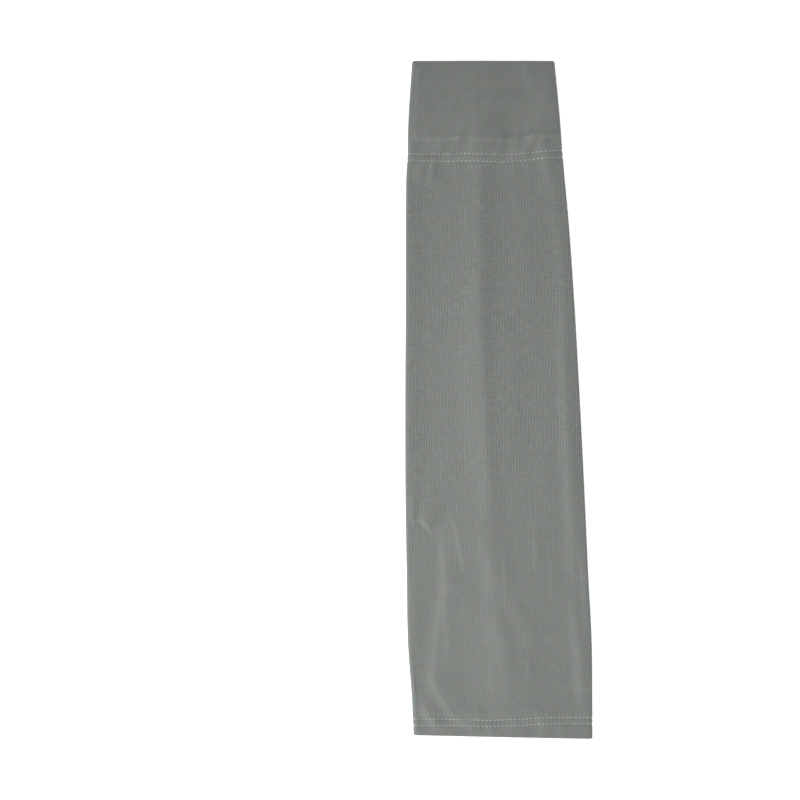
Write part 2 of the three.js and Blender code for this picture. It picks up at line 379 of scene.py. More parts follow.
def seam_height(x, station):
    """The swell of a seam's extra layers, with small ribs that the zigzag of thread behind it draws up."""
    height = np.zeros_like(x)
    for row, spacing, rib_pitch, swell_at in SEAMS:
        away = station - row_station(row, x) - spacing / 2
        height += SEAM_SWELL * np.exp(-(((away - swell_at) / SEAM_SWELL_REACH) ** 2))
        height += RIB_HEIGHT * np.cos(2 * np.pi * x / rib_pitch) * np.exp(-((away / RIB_REACH) ** 2))
    return height


RIDGE_STATION = np.array([(-56, 45.4), (-20, 45.1), (5, 45.8), (15, 44.8), (28, 43.6), (40, 43.3)])
RIDGE_STEP = 0.9
STEP_START = -0.4
STEP_REACH = 3.2
RIDGE_BEAD = 0.12
BEAD_REACH = 0.6


def ridge_height(x, station):
    """The step and the faint bead where the cuff's turned-under edge ends."""
    away = station - row_station(RIDGE_STATION, x)
    step = RIDGE_STEP * (1 - ease(away - STEP_START, STEP_REACH))
    return step + RIDGE_BEAD * np.exp(-((away / BEAD_REACH) ** 2))


print(f"{len(STITCH_ROWS)} rows of stitching, {len(PUCKERS)} puckers")

# %% [markdown]
# ## The lie of the cloth
#
# Now the pieces of the shape come together. A section of the tube starts on the flat underside, turns
# round the left fold, comes back over the upper layer and turns round the seam edge. One number c says
# where on that loop a point is: 0 to 1 underneath, 1 to 2 round the left fold, 2 to 3 on top, and
# 3 to 4 round the right edge. A slow swell keeps the upper layer from looking ironed, the wrist edge
# droops, and fine scallops mark the side seam. The relief of the upper layer fades out at the left fold.
# On the right it runs on over the edge, because a stop there would show as a dark line beside the seam.

# %% Relief of the upper layer
RANDOM_SEED = 7
SWELL_COUNT = 9
SWELL = 0.035
SWELL_ACROSS = (14, 40)
SWELL_ALONG = (90, 250)
WRIST_DROOP = 1.2
DROOP_REACH = 14
LEFT_FADE = 2
FULL_TURN = 2 * math.pi
random = np.random.default_rng(RANDOM_SEED)
swells = []
for _ in range(SWELL_COUNT):
    across_rate = FULL_TURN / random.uniform(*SWELL_ACROSS)
    along_rate = FULL_TURN / random.uniform(*SWELL_ALONG) * random.choice((-1, 1))
    swells.append((across_rate, along_rate, random.uniform(0, FULL_TURN)))


def upper_relief(x, station, from_left):
    """Everything that lifts or lowers the upper layer from its plain crown."""
    swell = sum(SWELL * np.sin(across * x + along * station + start) for across, along, start in swells)
    droop = WRIST_DROOP * np.clip(1 - station / DROOP_REACH, 0, 1) ** 2
    soft = fold_height(x, station) + swell - droop
    sewn = pucker_height(x, station) + ridge_height(x, station) + seam_height(x, station)
    return ease(from_left, LEFT_FADE) * (soft + sewn - channel_depth(x, station))


print(f"{SWELL_COUNT} slow swells, each {SWELL} mm high")

# %% Section of the tube
LEFT_TURN = 1
TOP = 2
RIGHT_TURN = 3
ROUND = 4
LEFT_FOLD_AT = LEFT_TURN + 0.5
SEAM_AT = RIGHT_TURN + 0.5
# The lifts say how straight each slope of the crown rises from its edge: at 1 it is a straight line.
LEFT_LIFT = -0.15
RIGHT_LIFT = 0.85
RIDGE_ROUND = 0.35
SEAM_GROOVE = 0.3
GROOVE_REACH = 0.12
SCALLOP = 0.12
SCALLOP_PITCH = 4.3
SCALLOP_MEAN = 0.6
SCALLOP_DRIFT = 0.8
DRIFT_LENGTH = 17


def crown(x, station, left, right):
    """The upper layer without its small folds: two slopes that meet in the long ridge."""
    ridge_x = outline("ridge_x", station)
    ridge = outline("ridge", station)
    left_edge, right_edge = outline("left_edge", station), outline("right_edge", station)
    from_left = np.clip((x - left) / (ridge_x - left), 0, None)
    from_right = np.clip((right - x) / (right - ridge_x), 0, None)
    left_rise = from_left * (LEFT_LIFT + (1 - LEFT_LIFT) * from_left)
    right_rise = from_right * (RIGHT_LIFT + (1 - RIGHT_LIFT) * from_right)
    left_side = left_edge + (ridge - left_edge) * left_rise
    right_side = right_edge + (ridge - right_edge) * right_rise
    return -RIDGE_ROUND * np.log(np.exp(-left_side / RIDGE_ROUND) + np.exp(-right_side / RIDGE_ROUND))


def section(c, station):
    """Points (x, z) on the outer face of the tube, in millimetres."""
    c = np.mod(c, ROUND)
    left_radius = outline("left_edge", station) / 2
    right_radius = outline("right_edge", station) / 2
    left = outline("left", station) + left_radius
    right = outline("right", station) - right_radius
    turn = np.pi * np.mod(c, 1)
    across = np.clip(np.where(c < TOP, LEFT_TURN - c, c - TOP), 0, 1)
    x = left + (right - left) * across
    lifted = crown(x, station, left, right) + upper_relief(x, station, x - left)
    drawn_in = channel_depth(x, station)
    wave = np.sin(np.pi * station / SCALLOP_PITCH + SCALLOP_DRIFT * np.sin(station / DRIFT_LENGTH))
    scallop = SCALLOP * (np.abs(wave) - SCALLOP_MEAN)
    groove = SEAM_GROOVE * np.exp(-(((c - SEAM_AT) / GROOVE_REACH) ** 2))
    left_rim = left_radius - drawn_in
    right_rim = right_radius - drawn_in
    on_left = (c >= LEFT_TURN) & (c < TOP)
    on_top = (c >= TOP) & (c < RIGHT_TURN)
    on_right = c >= RIGHT_TURN
    upper_share = (1 + np.cos(turn)) / 2
    x = np.select(
        [on_left, on_right],
        [left - left_rim * np.sin(turn), right + (right_rim + scallop - groove) * np.sin(turn)],
        x,
    )
    z = np.select(
        [on_left, on_top, on_right],
        [left_radius - left_rim * np.cos(turn), lifted, drawn_in + (lifted - drawn_in) * upper_share],
        drawn_in,
    )
    return x, z


middle_x, middle_z = section(np.array([TOP + 0.5]), np.array([sleeve_length / 2]))
print(f"middle of the upper layer: x {middle_x[0]:.1f} mm, {middle_z[0]:.1f} mm high")

# %% [markdown]
# ## From the section to the sleeve
#
# A section becomes a place in the frame: x and height come from the loop, and y from the station. The
# inner layers lie a depth inside the outer face, along the loop's own normal. The arm edge is cut at a
# slight slant, and near each seam the cloth shifts along the sleeve, so that the seam keeps to its rows.

# %% Places on the tube
LOOP_STEP = 0.004
SMALLEST_LENGTH = 1e-9
SEAM_BEYOND_ROW = 1.3
CUFF_FOLLOW = 9
CUFF_FOLLOW_FADE = 20
HEM_FOLLOW = 6
HEM_FOLLOW_FADE = 5


def place_on_tube(c, station, depth):
    """Points of the tube in metres, moved in from the outer face by a depth."""
    x, z = section(c, station)
    ahead = section(c + LOOP_STEP, station)
    behind = section(c - LOOP_STEP, station)
    tangent = np.stack([ahead[0] - behind[0], ahead[1] - behind[1]])
    tangent /= np.maximum(np.linalg.norm(tangent, axis=0), SMALLEST_LENGTH)
    x = x + tangent[1] * depth
    z = z - tangent[0] * depth
    left = outline("left", station)
    across = (x - left) / (outline("right", station) - left)
    slant = ARM_EDGE_SLANT * ease(station - SLANT_START, sleeve_length - SLANT_START)
    y = wrist_y - station - slant * (across - 0.5)
    return np.stack([x, y, z], axis=-1) * MM


def follow_rows(c, station):
    """Shifts stations near a seam, so that the seam runs along its rows of stitching."""
    x = section(c, station)[0]
    cuff_shift = row_station(CUFF_ROW, x) - (cuff_seam - SEAM_BEYOND_ROW - CUFF_ROW_SPACING)
    hem_shift = row_station(HEM_ROW, x) - (hem_seam + SEAM_BEYOND_ROW)
    near_cuff = 1 - ease(np.abs(station - cuff_seam) - CUFF_FOLLOW, CUFF_FOLLOW_FADE)
    near_hem = 1 - ease(np.abs(station - hem_seam) - HEM_FOLLOW, HEM_FOLLOW_FADE)
    return station + cuff_shift * near_cuff + hem_shift * near_hem


seam_middle = place_on_tube(np.array([SEAM_AT]), np.array([sleeve_length / 2]), 0)[0]
print("middle of the side seam in metres:", seam_middle)

# %% [markdown]
# ## Cutting and wrapping a panel
#
# A grid is the natural start for cloth: it is a flat panel with a thread line every millimetre or so.
# The helper below adds the grid, wraps its columns round the tube and its rows along it, and sews the
# two long edges together. It also writes a UV map in metres of cloth, measured from the left fold, so
# that the knit's lines later run straight down the fold and are cut off at the seam, as on real cloth.
# One more number on each point says how far it lies in the thick band above the cuff's ridge, because
# the knit's grey is a shade different there.

# %% Panel helper
UNDER_STEPS = 34
FOLD_STEPS = 12
UPPER_STEPS = 118
columns = np.concatenate([
    np.linspace(SEAM_AT - ROUND, 0, FOLD_STEPS // 2, endpoint=False),
    np.linspace(0, LEFT_TURN, UNDER_STEPS, endpoint=False),
    np.linspace(LEFT_TURN, TOP, FOLD_STEPS, endpoint=False),
    np.linspace(TOP, RIGHT_TURN, UPPER_STEPS, endpoint=False),
    np.linspace(RIGHT_TURN, SEAM_AT, FOLD_STEPS // 2 + 1),
])
ROW_SAMPLES = 4000
KNIT_MAP = "knit"
BAND = "thick_band"
SMOOTH_ANGLE = 50


def rows_between(start, end, plain_step, fine_zones=()):
    """Stations from start to end, closer together inside the fine zones (from, to, step)."""
    fine = np.linspace(start, end, ROW_SAMPLES)
    middle = (fine[1:] + fine[:-1]) / 2
    step = np.full_like(middle, plain_step)
    for zone_from, zone_to, zone_step in fine_zones:
        step[(middle > zone_from) & (middle < zone_to)] = zone_step
    count = np.concatenate([[0], np.cumsum(np.abs(np.diff(fine)) / step)])
    return np.interp(np.linspace(0, count[-1], round(count[-1]) + 1), count, fine)


def sew_panel(name, stations, depths, cloth_line, thick_band):
    """Adds a flat panel, wraps it round the tube and sews its side seam."""
    bpy.ops.object.select_all(action="DESELECT")
    bpy.ops.mesh.primitive_grid_add(
        x_subdivisions=len(columns) - 1, y_subdivisions=len(stations) - 1, size=1, calc_uvs=True
    )
    piece = bpy.context.object
    mesh = piece.data
    piece.name = mesh.name = name
    flat = np.empty(len(mesh.vertices) * 3)
    mesh.vertices.foreach_get("co", flat)
    flat = flat.reshape(-1, 3)
    column = np.rint((flat[:, 0] + 0.5) * (len(columns) - 1)).astype(int)
    row = np.rint((flat[:, 1] + 0.5) * (len(stations) - 1)).astype(int)

    c_grid, station_grid = np.meshgrid(columns, stations)
    station_grid = follow_rows(c_grid, station_grid)
    depth_grid = np.broadcast_to(np.asarray(depths, float)[:, None], c_grid.shape)
    places = place_on_tube(c_grid, station_grid, depth_grid)
    steps = np.linalg.norm(np.diff(places[..., [0, 2]], axis=1), axis=-1)
    around = np.concatenate([np.zeros((len(stations), 1)), np.cumsum(steps, axis=1)], axis=1)
    around -= around[:, [np.argmin(np.abs(columns - LEFT_FOLD_AT))]]
    mesh.vertices.foreach_set("co", places[row, column].ravel())

    corner = np.empty(len(mesh.loops), int)
    mesh.loops.foreach_get("vertex_index", corner)
    cloth = np.stack([around[row, column], np.asarray(cloth_line)[row] * MM], axis=-1)
    mesh.uv_layers[0].name = KNIT_MAP
    mesh.uv_layers[0].uv.foreach_set("vector", cloth[corner].ravel())
    thick = np.broadcast_to(thick_band(places[..., 0] / MM, station_grid), c_grid.shape)
    mesh.attributes.new(BAND, "FLOAT", "POINT").data.foreach_set("value", thick[row, column].astype(float))
    mesh.update()

    bpy.ops.object.mode_set(mode="EDIT")
    bpy.ops.mesh.select_all(action="SELECT")
    bpy.ops.mesh.remove_doubles(threshold=1e-6)
    if mean_outward(piece) < 0:
        bpy.ops.mesh.flip_normals()
    bpy.ops.object.mode_set(mode="OBJECT")
    return piece


def mean_outward(piece):
    """Positive if the faces of the panel's first row look away from the middle of the tube."""
    bpy.ops.object.mode_set(mode="OBJECT")
    faces = piece.data.polygons
    centre = np.empty(len(faces) * 3)
    normal = np.empty(len(faces) * 3)
    faces.foreach_get("center", centre)
    faces.foreach_get("normal", normal)
    first = np.arange(0, len(columns) - 1)
    z = centre.reshape(-1, 3)[first, 2]
    bpy.ops.object.mode_set(mode="EDIT")
    return float(np.sum(normal.reshape(-1, 3)[first, 2] * (z - np.mean(z))))


def thicken(piece, thickness):
    """Gives a sewn panel the thickness of its cloth, on the inside, and shades it smooth."""
    bpy.ops.object.select_all(action="DESELECT")
    piece.select_set(True)
    bpy.context.view_layer.objects.active = piece
    bpy.ops.object.modifier_add(type="SOLIDIFY")
    wall = piece.modifiers[-1]
    wall.thickness = thickness * MM
    wall.offset = -1
    bpy.ops.object.modifier_apply(modifier=wall.name)
    bpy.ops.object.shade_smooth_by_angle(angle=math.radians(SMOOTH_ANGLE))
    triangles = sum(len(face.vertices) - 2 for face in piece.data.polygons)
    print(f"{piece.name}: {len(piece.data.vertices)} points, {triangles} triangles")


print(f"{len(columns)} columns round the tube")

# %% [markdown]
# ## The body
#
# One layer of knit from the cuff's seam to the hem's seam. Its rows lie closer together beside the two
# seams and at the kink, where the relief is small.

# %% Make the body
BODY_ROW_STEP = 1.5
FINE_ROW_STEP = 0.8
PUCKERED_REACH = 14
KINK_START = 268
KINK_END = 282
HEM_FOLDS_START = 368
body_rows = rows_between(cuff_seam, hem_seam, BODY_ROW_STEP, [
    (cuff_seam, cuff_seam + PUCKERED_REACH, FINE_ROW_STEP),
    (KINK_START, KINK_END, FINE_ROW_STEP),
    (HEM_FOLDS_START, hem_seam, FINE_ROW_STEP),
])
sleeve_body = sew_panel(
    "sleeve_body_cloth", body_rows, np.zeros(len(body_rows)), body_rows, lambda x, station: 0
)
thicken(sleeve_body, LAYER)

# %% [markdown]
# ## The cuff and the hem
#
# Both ends are one panel folded in on itself: down the outside, round a tight turn at the open edge and
# back along the inside, a little past the seam. The panel's rows follow that path, so the fold at the
# edge is a real turn of the cloth. The rows lie closest at the cuff's ridge and at the stitching.

# %% Make the cuff and the hem
TURN_RADIUS = DOUBLED / 2
TURN_STEPS = 7
OUTSIDE_ROW_STEP = 1.6
INSIDE_ROW_STEP = 3.5
CUFF_FINE_ZONES = [(42, 48, 0.45), (50, 62, 0.5)]
HEM_FINE_ZONES = [(386, 396, 0.5)]
HEM_BAND = 0.6
BAND_START = -0.6
BAND_RISE = 1.2
BAND_AT_RIDGE = 0.55
BAND_DELAY = 2
BAND_REACH = 28


def above_ridge(x, station):
    """0 below the cuff's ridge; above it more, up to 1 towards the wrist."""
    above = row_station(RIDGE_STATION, x) - station
    deeper = BAND_AT_RIDGE + (1 - BAND_AT_RIDGE) * ease(above - BAND_DELAY, BAND_REACH)
    return ease(above - BAND_START, BAND_RISE) * deeper


def folded_end(name, seam, open_edge, fine_zones, thick_band):
    """A doubled end: outside from its seam to its open edge, then back inside past the seam."""
    way = 1 if open_edge > seam else -1
    turn_start = open_edge - way * TURN_RADIUS
    low, high = sorted((seam, turn_start))
    outside = rows_between(low, high, OUTSIDE_ROW_STEP, fine_zones)[::way]
    angle = np.linspace(0, np.pi, TURN_STEPS + 2)[1:-1]
    turn = turn_start + way * TURN_RADIUS * np.sin(angle)
    low, high = sorted((seam - way * FACING_LAP, turn_start))
    inside = rows_between(low, high, INSIDE_ROW_STEP)[::-way]
    stations = np.concatenate([outside, turn, inside])
    depths = np.concatenate([
        np.zeros(len(outside)), TURN_RADIUS * (1 - np.cos(angle)), np.full(len(inside), DOUBLED)
    ])
    cloth_line = np.concatenate([outside, turn, 2 * open_edge - inside])
    piece = sew_panel(name, stations, depths, cloth_line, thick_band)
    thicken(piece, LAYER)
    return piece


wrist_cuff = folded_end("wrist_cuff_cloth", cuff_seam - HAIRLINE, 0, CUFF_FINE_ZONES, above_ridge)
arm_hem = folded_end(
    "arm_hem_cloth", hem_seam + HAIRLINE, sleeve_length, HEM_FINE_ZONES, lambda x, station: HEM_BAND
)

# %% [markdown]
# ## One stitch, then all of them
#
# A twin-needle row shows on the outside as short, slightly rounded dashes of thread that dive into the
# knit at both ends. One stitch is modelled from a six-sided cylinder: cut it across, lift the middle and
# sink the ends. Then it is set down along each row, all the way round the tube.

# %% Model one stitch
THREAD_RADIUS = 0.2
THREAD_SIDES = 6
STITCH_LENGTH = 1.45
STITCH_CUTS = (-0.36, -0.2, 0, 0.2, 0.36)
END_PINCH = 0.35
MIDDLE_LIFT = 0.1
END_SINK = 0.34
bpy.ops.object.select_all(action="DESELECT")
bpy.ops.mesh.primitive_cylinder_add(
    vertices=THREAD_SIDES, radius=THREAD_RADIUS, depth=STITCH_LENGTH, rotation=(0, math.pi / 2, 0)
)
stitch = bpy.context.object
bpy.ops.object.transform_apply(location=False, rotation=True, scale=False)
bpy.ops.object.mode_set(mode="EDIT")
for share in STITCH_CUTS:
    bpy.ops.mesh.select_all(action="SELECT")
    bpy.ops.mesh.bisect(plane_co=(share * STITCH_LENGTH, 0, 0), plane_no=(1, 0, 0))
bpy.ops.object.mode_set(mode="OBJECT")
stitch_points = np.array([point.co for point in stitch.data.vertices])
half = np.abs(stitch_points[:, 0]) / (STITCH_LENGTH / 2)
stitch_points[:, 1:] *= 1 - END_PINCH * half[:, None] ** 4
stitch_points[:, 2] += MIDDLE_LIFT - END_SINK * half**3
stitch_faces = [list(face.vertices) for face in stitch.data.polygons]
bpy.data.objects.remove(stitch)
print(f"one stitch: {len(stitch_points)} points, {len(stitch_faces)} faces")

# %% Sew the rows
CUFF_STITCH_PITCH = 2.55
HEM_STITCH_PITCH = 2.4
LOOP_SAMPLES = 1600
SETTLE_ROUNDS = 3
OUTWARD_DEPTH = 0.5
AIM_REACH = 0.8
PLACE_SPREAD = 0.08
TURN_SPREAD = 0.05
LENGTH_SPREAD = 0.05


def along_row(values, length, at):
    """A place or a direction at a length along a row."""
    return np.array([np.interp(at, length, values[:, i]) for i in range(3)])


def sew_rows(name, end, pitch):
    """Sets stitches along both rows of one end, as one piece that stays above the table."""
    points, faces = [], []
    for row_end, row, offset in STITCH_ROWS:
        if row_end != end:
            continue
        c = np.linspace(SEAM_AT - ROUND, SEAM_AT, LOOP_SAMPLES)
        station = np.full_like(c, row[:, 1].mean())
        for _ in range(SETTLE_ROUNDS):
            station = row_station(row, section(c, station)[0]) + offset
        surface = place_on_tube(c, station, 0) / MM
        outward = surface - place_on_tube(c, station, OUTWARD_DEPTH) / MM
        length = np.concatenate([[0], np.cumsum(np.linalg.norm(np.diff(surface, axis=0), axis=1))])
        count = round(length[-1] / pitch)
        for k in range(count):
            at = (k + 0.5) * length[-1] / count + random.normal(0, PLACE_SPREAD)
            here = along_row(surface, length, at)
            ahead = along_row(surface, length, at + AIM_REACH)
            behind = along_row(surface, length, at - AIM_REACH)
            up = along_row(outward, length, at)
            forward = (ahead - behind) / np.linalg.norm(ahead - behind)
            up = up - forward * np.dot(up, forward)
            up /= np.linalg.norm(up)
            side = np.cross(up, forward)
            turn = random.normal(0, TURN_SPREAD)
            forward, side = forward + turn * side, side - turn * forward
            local = stitch_points * (random.normal(1, LENGTH_SPREAD), 1, 1)
            first = len(points)
            placed = here + local @ np.stack([forward, side, up])
            placed[:, 2] = np.maximum(placed[:, 2], 0)
            points.extend(placed)
            faces.extend([[first + i for i in face] for face in stitch_faces])
    mesh = bpy.data.meshes.new(name)
    mesh.from_pydata([tuple(point * MM) for point in points], [], faces)
    piece = bpy.data.objects.new(name, mesh)
    bpy.context.collection.objects.link(piece)
    bpy.ops.object.select_all(action="DESELECT")
    piece.select_set(True)
    bpy.context.view_layer.objects.active = piece
    bpy.ops.object.shade_smooth()
    print(f"{name}: {len(faces) // len(stitch_faces)} stitches")
    return piece


cuff_stitching = sew_rows("cuff_stitching", "cuff", CUFF_STITCH_PITCH)
hem_stitching = sew_rows("hem_stitching", "hem", HEM_STITCH_PITCH)

# %% [markdown]
# ## The knit's finish
#
# Fine jersey is made of wales, the vertical columns of loops that show as faint lines down the sleeve.
# A texture image could show them, but lines worked out from the cloth's own UV map stay sharp at any
# distance and follow every fold. The same lines drive a little colour and a little bump, and slow noise
# varies the grey, as in any dyed cloth. The first cell holds small helpers that add and link the nodes.

# %% Node helpers
NOISE_MIDDLE = 0.5


def add_node(tree, kind, links=(), **values):
    """Adds a shader node, sets its properties and links its inputs."""
    node = tree.nodes.new(kind)
    for key, value in values.items():
        setattr(node, key, value)
    for socket, source in links:
        if isinstance(source, bpy.types.NodeSocket):
            tree.links.new(source, node.inputs[socket])
        else:
            node.inputs[socket].default_value = source
    return node


def calculate(tree, operation, first, second=0.0):
    """One sum in a material."""
    return add_node(tree, "ShaderNodeMath", [(0, first), (1, second)], operation=operation).outputs[0]


def noise(tree, vector, scale, detail=2.0):
    """Soft noise between 0 and 1 over a vector."""
    links = [("Vector", vector), ("Scale", scale), ("Detail", detail)]
    return add_node(tree, "ShaderNodeTexNoise", links).outputs["Fac"]


def stretched(tree, vector, across, along):
    """A cloth vector scaled by different amounts across and along the sleeve."""
    links = [(0, vector), (1, (across, along, 1.0))]
    return add_node(tree, "ShaderNodeVectorMath", links, operation="MULTIPLY").outputs[0]


def blend(tree, factor, first, second, kind="MIX"):
    """Mixes two colours."""
    links = [("Factor", factor), ("A", first), ("B", second)]
    return add_node(tree, "ShaderNodeMix", links, data_type="RGBA", blend_type=kind).outputs["Result"]


def centred(tree, value, gain):
    """A noise moved to swing round 0."""
    return calculate(tree, "MULTIPLY", calculate(tree, "SUBTRACT", value, NOISE_MIDDLE), gain)


def fade(tree, value, start, end, first, last):
    """Goes from a first to a last number while a value goes from start to end."""
    links = [(0, value), (1, start), (2, end), (3, first), (4, last)]
    return add_node(tree, "ShaderNodeMapRange", links).outputs[0]


print("helpers for materials are ready")

# %% [markdown]
# ## Jersey
#
# Every loop has two legs that meet in a small V, so the course lines zigzag from wale to wale. On soft
# cloth the lines break up: they are clearest where a slow noise says so, and fainter beside the cuff,
# towards the arm and in the thick band. The doubled ends show fainter lines and more grain. Below the
# cuff's ridge a strip is painted a shade lighter than the body, as painted light on cloth that slopes
# down from the band to the seam and faces the lamp; the band above it is a shade darker, so that
# material blends two greys.

# %% Knit material
WALE_PITCH = 1.45
COURSE_PITCH = 0.95
WALE_STRAY = 1.8
NOISE_SWING = 2.0
WALE_TONE = 0.165
LOOP_TONE = 0.02
STREAK_TONE = 0.2
COURSE_TONE = 0.23
PATCH_BASE = 0.3
BAND_FADE = 0.5
ARM_FADE = 0.42
ARM_FADE_START = 220
ARM_FADE_END = 320
CUFF_FADE = 0.2
CUFF_FADE_START = 60
CUFF_FADE_END = 90
GREEN_TINT = (0.87, 1.085, 1.02, 1)
RED_TINT = (1.13, 0.915, 0.98, 1)
COOL_TINT = (1.0, 1.0, 1.07, 1)
WARM_TINT = (1.0, 1.0, 0.93, 1)
LOOP_BUMP = 0.6
KNIT_BUMP = 0.06
KNIT_ROUGHNESS = 0.68
WALE_SHINE = 0.04
# Each noise of the knit: its stretch across and along the cloth, its scale and its detail.
KNIT_NOISES = {
    "wander": (1.0, 0.28, 170.0, 2.0),
    "streak": (1.0, 0.25, 900.0, 2.0),
    "course": (0.2, 1.0, 900.0, 2.0),
    "grain": (1.0, 1.0, 1400.0, 2.0),
    "mottle": (1.0, 0.7, 180.0, 3.0),
    "patch": (1.0, 1.0, 35.0, 2.0),
    "hue": (1.0, 0.6, 220.0, 3.0),
    "cool": (1.0, 0.5, 260.0, 2.0),
}


def knit_noise(tree, cloth, kind):
    """One of the knit's noises."""
    across, along, scale, detail = KNIT_NOISES[kind]
    return noise(tree, stretched(tree, cloth, across, along), scale, detail)


def add_share(tree, total, part, share):
    """Adds a share of one value to a total."""
    return calculate(tree, "ADD", total, calculate(tree, "MULTIPLY", part, share))


def knit_material(name, grey, band_grey, lines, grains, clouds):
    """Grey jersey: wale lines, broken streaks and slow noise vary the grey."""
    material = bpy.data.materials.new(name)
    material.use_nodes = True
    tree = material.node_tree
    shader = tree.nodes["Principled BSDF"]
    cloth = add_node(tree, "ShaderNodeUVMap", uv_map=KNIT_MAP).outputs["UV"]
    band = add_node(tree, "ShaderNodeAttribute", attribute_name=BAND).outputs["Fac"]
    split = add_node(tree, "ShaderNodeSeparateXYZ", [("Vector", cloth)])
    down = split.outputs["Y"]

    wander = centred(tree, knit_noise(tree, cloth, "wander"), WALE_STRAY)
    wales = calculate(tree, "MULTIPLY", split.outputs["X"], 1 / (WALE_PITCH * MM))
    wales = calculate(tree, "ADD", wales, wander)
    wale = calculate(tree, "COSINE", calculate(tree, "MULTIPLY", wales, FULL_TURN))
    leg = calculate(tree, "PINGPONG", wales, 0.5)
    courses = calculate(tree, "MULTIPLY", down, 1 / (COURSE_PITCH * MM))
    courses = calculate(tree, "ADD", courses, leg)
    loop = calculate(tree, "COSINE", calculate(tree, "MULTIPLY", courses, FULL_TURN))
    streak = centred(tree, knit_noise(tree, cloth, "streak"), NOISE_SWING)
    course = centred(tree, knit_noise(tree, cloth, "course"), NOISE_SWING)
    grain = centred(tree, knit_noise(tree, cloth, "grain"), NOISE_SWING)
    mottle = centred(tree, knit_noise(tree, cloth, "mottle"), NOISE_SWING)

    strength = calculate(tree, "ADD", PATCH_BASE, knit_noise(tree, cloth, "patch"))
    in_band = calculate(tree, "MULTIPLY", band, BAND_FADE)
    to_arm = fade(tree, down, ARM_FADE_START * MM, ARM_FADE_END * MM, 0.0, ARM_FADE)
    by_cuff = fade(tree, down, CUFF_FADE_START * MM, CUFF_FADE_END * MM, CUFF_FADE, 0.0)
    for fainter in (in_band, to_arm, by_cuff):
        strength = calculate(tree, "SUBTRACT", strength, fainter)

    tone = calculate(tree, "MULTIPLY", wale, WALE_TONE * lines)
    tone = add_share(tree, tone, loop, LOOP_TONE * lines)
    tone = add_share(tree, tone, streak, STREAK_TONE * lines)
    tone = add_share(tree, tone, course, COURSE_TONE * lines)
    tone = calculate(tree, "MULTIPLY", tone, strength)
    tone = add_share(tree, tone, grain, grains)
    tone = add_share(tree, tone, mottle, clouds)
    tone = calculate(tree, "ADD", 1.0, tone)
    tint = blend(tree, knit_noise(tree, cloth, "hue"), GREEN_TINT, RED_TINT)
    warmth = blend(tree, knit_noise(tree, cloth, "cool"), COOL_TINT, WARM_TINT)
    tint = blend(tree, 1.0, tint, warmth, "MULTIPLY")
    # For the doubled ends the first grey is the strip's grey, painted a shade lighter as painted light.
    colour = blend(tree, 1.0, blend(tree, band, grey, band_grey), tint, "MULTIPLY")
    shade = add_node(tree, "ShaderNodeVectorMath", [(0, colour), ("Scale", tone)], operation="SCALE")
    tree.links.new(shade.outputs[0], shader.inputs["Base Color"])

    relief = calculate(tree, "ADD", add_share(tree, wale, loop, LOOP_BUMP), streak)
    links = [("Strength", 0.3), ("Distance", KNIT_BUMP * MM), ("Height", relief)]
    bump = add_node(tree, "ShaderNodeBump", links)
    tree.links.new(bump.outputs["Normal"], shader.inputs["Normal"])
    shine = calculate(tree, "MULTIPLY", wale, WALE_SHINE)
    roughness = calculate(tree, "SUBTRACT", KNIT_ROUGHNESS, shine)
    tree.links.new(roughness, shader.inputs["Roughness"])
    shader.inputs["Specular IOR Level"].default_value = 0.3
    shader.inputs["Sheen Weight"].default_value = 0.08
    shader.inputs["Sheen Roughness"].default_value = 0.45
    return material


KNIT_GREY = (0.180, 0.193, 0.179, 1)
# The strip's grey is painted a shade lighter, as painted light on the slope below the cuff's ridge; the
# hem mixes it with the band's grey.
PAINTED_LIT_STRIP_GREY = (0.1885, 0.202, 0.1875, 1)
BAND_GREY = (0.1755, 0.1875, 0.1745, 1)
body_knit = knit_material("grey_jersey", KNIT_GREY, KNIT_GREY, lines=1.0, grains=0.17, clouds=0.035)
cuff_knit = knit_material("doubled_jersey", PAINTED_LIT_STRIP_GREY, BAND_GREY, lines=0.7, grains=0.27, clouds=0.12)
print("knits:", body_knit.name, cuff_knit.name)

# %% [markdown]
# ## Thread
#
# The thread is pale and twisted, and a fine noise paints its shine into the colour: painted highlights
# that change over fractions of a millimetre. A slower noise makes some stitches a shade darker or lighter.

# %% Thread material, and all finishes put on
THREAD_DARK = (0.38, 0.40, 0.38, 1)
THREAD_LIGHT = (0.64, 0.66, 0.63, 1)
TWIST_SCALE = 4000.0
TWIST_DETAIL = 1.0
SLOW_TONE_SCALE = 90.0
THREAD_BUMP = 0.05


def thread_material(name):
    """Pale sewing thread with a fine uneven twist and painted shine in its colour."""
    material = bpy.data.materials.new(name)
    material.use_nodes = True
    tree = material.node_tree
    shader = tree.nodes["Principled BSDF"]
    place = add_node(tree, "ShaderNodeTexCoord").outputs["Object"]
    twist = noise(tree, place, TWIST_SCALE, TWIST_DETAIL)
    slow_tone = centred(tree, noise(tree, place, SLOW_TONE_SCALE), NOISE_SWING)
    # Painted shine: the twist noise and the slower noise blend the thread's colour between dark and light.
    shine = calculate(tree, "ADD", twist, slow_tone)
    tree.links.new(blend(tree, shine, THREAD_DARK, THREAD_LIGHT), shader.inputs["Base Color"])
    links = [("Strength", 0.4), ("Distance", THREAD_BUMP * MM), ("Height", twist)]
    bump = add_node(tree, "ShaderNodeBump", links)
    tree.links.new(bump.outputs["Normal"], shader.inputs["Normal"])
    shader.inputs["Roughness"].default_value = 0.6
    return material


thread = thread_material("pale_thread")
for piece, finish in (
    (sleeve_body, body_knit), (wrist_cuff, cuff_knit), (arm_hem, cuff_knit),
    (cuff_stitching, thread), (hem_stitching, thread),
):
    piece.data.materials.clear()
    piece.data.materials.append(finish)
print("materials:", [material.name for material in bpy.data.materials])
